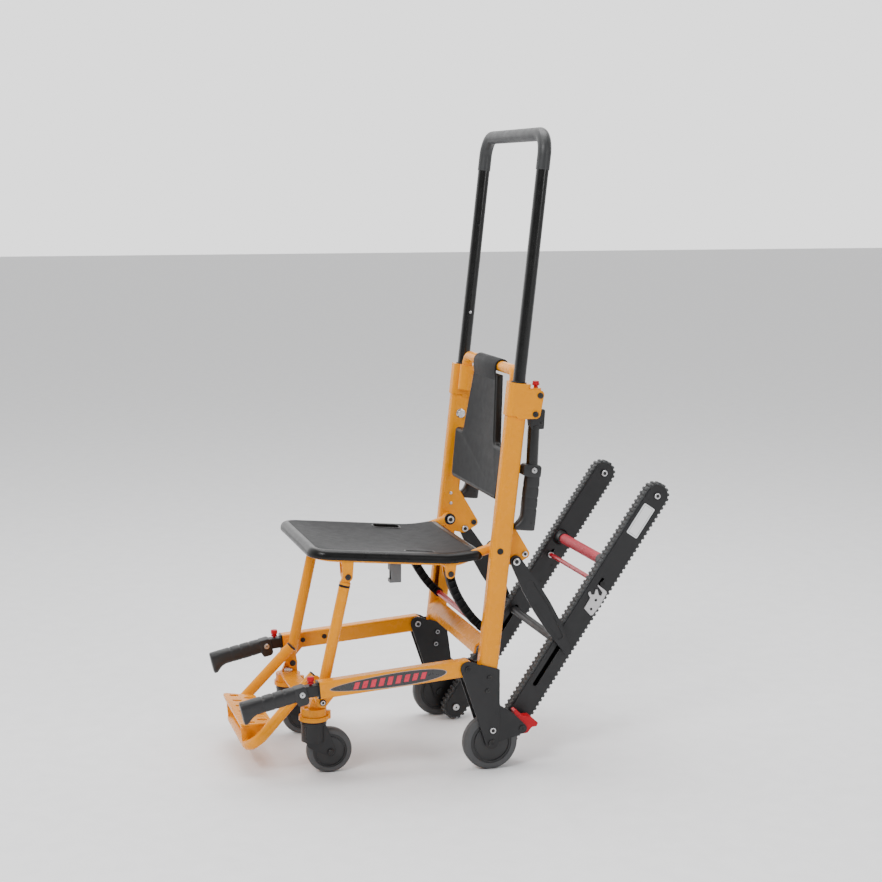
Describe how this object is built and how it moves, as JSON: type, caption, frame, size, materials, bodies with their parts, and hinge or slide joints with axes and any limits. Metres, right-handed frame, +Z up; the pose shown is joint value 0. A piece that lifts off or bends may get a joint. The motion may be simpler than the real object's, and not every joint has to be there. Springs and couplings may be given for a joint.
{
  "type": "stair chair",
  "caption": "Folding evacuation stair chair with seat, back panel, wheels, rear belt tracks, telescoping upper handle, footrest and pull-out lift handles.",
  "frame": {"origin": "middle of the footprint, on the floor", "axes": "+Z up; the occupant faces -Y; +X is the occupant's left"},
  "size_m": [0.4974, 1.0045, 1.4276],
  "materials": {
    "yellow_paint": "gloss powder coat",
    "yellow_casting": "gloss powder coat",
    "black_metal": "satin powder coat",
    "fastener": "satin",
    "moulded_black": "fine grain",
    "grip_black": "matte",
    "handle_tube": "gloss powder coat",
    "sleeve": "matte",
    "red": "satin",
    "red_metal": "satin powder coat",
    "tyre": "matte",
    "hub": "satin",
    "belt": "matte",
    "silver": "satin",
    "grey_plastic": "matte",
    "inner_plastic": "matte"
  },
  "bodies": {
    "frame": {"uprights": "yellow_paint", "clamp_castings": "yellow_casting", "top_bar": "yellow_paint", "backrest": "moulded_black", "cross_bar": "yellow_paint", "gusset_plates": "yellow_paint", "foot_plates": "black_metal", "frame_bolts": "fastener"},
    "upper_handle": {"upper_handle": "handle_tube", "handle_sleeve": "sleeve"},
    "seat": {"seat_pan": "moulded_black", "seat_frame": "yellow_paint", "seat_brackets": "yellow_paint", "strap_clips": "grey_plastic"},
    "brace": {"brace_arms": "inner_plastic", "brace_release_bar": "red_metal"},
    "rails": {"side_rails": "yellow_paint", "frame_pivot_pins": "fastener"},
    "front_frame": {"front_legs": "yellow_paint", "cross_member": "yellow_paint"},
    "footrest": {"footrest_tube": "yellow_paint", "footrest_plate": "yellow_paint"},
    "tracks": {"track_plates": "black_metal", "belt_guides": "inner_plastic", "track_belts": "belt", "track_grip": "red_metal", "track_pulley_bolts": "fastener", "track_latches": "silver"},
    "upper_pulleys": {"upper_pulleys": "inner_plastic"},
    "lower_pulleys": {"lower_pulleys": "inner_plastic"},
    "track_release": {"track_release_bar": "red_metal"},
    "struts": {"struts": "black_metal"},
    "strut_tube": {"strut_cross_tube": "black_metal"},
    "left_handle_release": {"left_handle_release": "silver"},
    "left_rear_handle": {"left_rear_handle_arm": "black_metal", "left_rear_handle_grip": "grip_black"},
    "left_lock_button": {"left_lock_button": "red"},
    "left_front_handle": {"left_front_handle_tube": "black_metal", "left_front_handle_grip": "grip_black"},
    "left_plunger_knob": {"left_plunger_knob": "red"},
    "left_caster": {"left_caster_housing": "black_metal"},
    "left_caster_wheel": {"left_caster_tyre": "tyre", "left_caster_hub": "hub"},
    "left_rear_wheel": {"left_rear_tyre": "tyre", "left_rear_hub": "hub"},
    "left_wheel_lock": {"left_wheel_lock_pedal": "red"},
    "right_handle_release": {"right_handle_release": "silver"},
    "right_rear_handle": {"right_rear_handle_arm": "black_metal", "right_rear_handle_grip": "grip_black"},
    "right_lock_button": {"right_lock_button": "red"},
    "right_front_handle": {"right_front_handle_tube": "black_metal", "right_front_handle_grip": "grip_black"},
    "right_plunger_knob": {"right_plunger_knob": "red"},
    "right_caster": {"right_caster_housing": "black_metal"},
    "right_caster_wheel": {"right_caster_tyre": "tyre", "right_caster_hub": "hub"},
    "right_rear_wheel": {"right_rear_tyre": "tyre", "right_rear_hub": "hub"},
    "right_wheel_lock": {"right_wheel_lock_pedal": "red"}
  },
  "joints": [
    {"name": "seat_fold", "type": "hinge", "parent": "frame", "child": "seat", "pos_m": [0, 0.08254, 0.498], "axis": [-1, 0, 0], "range_deg": [0, 86]},
    {"name": "rail_fold", "type": "hinge", "parent": "frame", "child": "rails", "pos_m": [0, 0.00854, 0.2365], "axis": [-1, 0, 0], "range_deg": [0, 88.6]},
    {"name": "front_frame_fold", "type": "hinge", "parent": "rails", "child": "front_frame", "pos_m": [0, -0.31396, 0.1745], "axis": [-1, 0, 0], "range_deg": [-85.6, 0]},
    {"name": "brace_fold", "type": "hinge", "parent": "seat", "child": "brace", "pos_m": [0, -0.01896, 0.444], "axis": [-1, 0, 0], "range_deg": [-75.2, 0]},
    {"name": "footrest_fold", "type": "hinge", "parent": "front_frame", "child": "footrest", "pos_m": [0, -0.31396, 0.1745], "axis": [-1, 0, 0], "range_deg": [0, 125]},
    {"name": "upper_handle_slide", "type": "slide", "parent": "frame", "child": "upper_handle", "axis": [0, 0.1097, 0.994], "range_m": [-0.46, 0]},
    {"name": "track_fold", "type": "hinge", "parent": "frame", "child": "tracks", "pos_m": [0, 0.09304, 0.033], "axis": [1, 0, 0], "range_deg": [0, 27.5]},
    {"name": "strut_fold", "type": "hinge", "parent": "frame", "child": "struts", "pos_m": [0, 0.12804, 0.468], "axis": [-1, 0, 0], "range_deg": [0, 34.4]},
    {"name": "strut_tube_slide", "type": "slide", "parent": "tracks", "child": "strut_tube", "axis": [0, -0.557, -0.8305], "range_m": [0, 0.0725]},
    {"name": "lower_pulley_spin", "type": "hinge", "parent": "tracks", "child": "lower_pulleys", "pos_m": [0, 0.09304, 0.033], "axis": [1, 0, 0], "continuous": true},
    {"name": "upper_pulley_spin", "type": "hinge", "parent": "tracks", "child": "upper_pulleys", "pos_m": [0, 0.47181, 0.59774], "axis": [1, 0, 0], "continuous": true},
    {"name": "track_release_slide", "type": "slide", "parent": "tracks", "child": "track_release", "axis": [0, 0.557, 0.8305], "range_m": [0, 0.012], "stiffness_N_per_m": 300},
    {"name": "left_handle_release_pull", "type": "slide", "parent": "frame", "child": "left_handle_release", "axis": [-1, 0, 0], "range_m": [0, 0.005], "stiffness_N_per_m": 400},
    {"name": "left_rear_handle_swing", "type": "hinge", "parent": "frame", "child": "left_rear_handle", "pos_m": [0.225, 0.16104, 0.802], "axis": [1, 0, 0], "range_deg": [0, 95]},
    {"name": "left_lock_button_press", "type": "slide", "parent": "frame", "child": "left_lock_button", "axis": [0, 0, -1], "range_m": [0, 0.004], "stiffness_N_per_m": 400},
    {"name": "left_front_handle_slide", "type": "slide", "parent": "rails", "child": "left_front_handle", "axis": [0, -0.9966, -0.0819], "range_m": [0, 0.12]},
    {"name": "left_plunger_knob_press", "type": "slide", "parent": "left_front_handle", "child": "left_plunger_knob", "axis": [0, 0, -1], "range_m": [0, 0.003], "stiffness_N_per_m": 400},
    {"name": "left_caster_swivel", "type": "hinge", "parent": "front_frame", "child": "left_caster", "pos_m": [0.155, -0.32396, 0], "axis": [0, 0, 1], "continuous": true},
    {"name": "left_caster_roll", "type": "hinge", "parent": "left_caster", "child": "left_caster_wheel", "pos_m": [0.155, -0.28996, 0.051], "axis": [1, 0, 0], "continuous": true},
    {"name": "left_rear_wheel_roll", "type": "hinge", "parent": "frame", "child": "left_rear_wheel", "pos_m": [0.225, 0.06404, 0.0625], "axis": [1, 0, 0], "continuous": true},
    {"name": "left_wheel_lock_press", "type": "hinge", "parent": "frame", "child": "left_wheel_lock", "pos_m": [0.225, 0.13604, 0.09], "axis": [-1, 0, 0], "range_deg": [0, 30]},
    {"name": "right_handle_release_pull", "type": "slide", "parent": "frame", "child": "right_handle_release", "axis": [1, 0, 0], "range_m": [0, 0.005], "stiffness_N_per_m": 400},
    {"name": "right_rear_handle_swing", "type": "hinge", "parent": "frame", "child": "right_rear_handle", "pos_m": [-0.225, 0.16104, 0.802], "axis": [1, 0, 0], "range_deg": [0, 95]},
    {"name": "right_lock_button_press", "type": "slide", "parent": "frame", "child": "right_lock_button", "axis": [0, 0, -1], "range_m": [0, 0.004], "stiffness_N_per_m": 400},
    {"name": "right_front_handle_slide", "type": "slide", "parent": "rails", "child": "right_front_handle", "axis": [0, -0.9966, -0.0819], "range_m": [0, 0.12]},
    {"name": "right_plunger_knob_press", "type": "slide", "parent": "right_front_handle", "child": "right_plunger_knob", "axis": [0, 0, -1], "range_m": [0, 0.003], "stiffness_N_per_m": 400},
    {"name": "right_caster_swivel", "type": "hinge", "parent": "front_frame", "child": "right_caster", "pos_m": [-0.155, -0.32396, 0], "axis": [0, 0, 1], "continuous": true},
    {"name": "right_caster_roll", "type": "hinge", "parent": "right_caster", "child": "right_caster_wheel", "pos_m": [-0.155, -0.28996, 0.051], "axis": [1, 0, 0], "continuous": true},
    {"name": "right_rear_wheel_roll", "type": "hinge", "parent": "frame", "child": "right_rear_wheel", "pos_m": [-0.225, 0.06404, 0.0625], "axis": [1, 0, 0], "continuous": true},
    {"name": "right_wheel_lock_press", "type": "hinge", "parent": "frame", "child": "right_wheel_lock", "pos_m": [-0.225, 0.13604, 0.09], "axis": [-1, 0, 0], "range_deg": [0, 30]}
  ],
  "couplings": [
    {"joint": "rail_fold", "follows": "seat_fold", "ratio": 1.0294},
    {"joint": "front_frame_fold", "follows": "seat_fold", "ratio": -0.9942},
    {"joint": "brace_fold", "follows": "seat_fold", "ratio": -0.87346},
    {"joint": "strut_fold", "follows": "track_fold", "ratio": 1.2476},
    {"joint": "strut_tube_slide", "follows": "track_fold", "m_per_rad": 0.15085},
    {"joint": "upper_pulley_spin", "follows": "lower_pulley_spin", "ratio": 1}
  ]
}
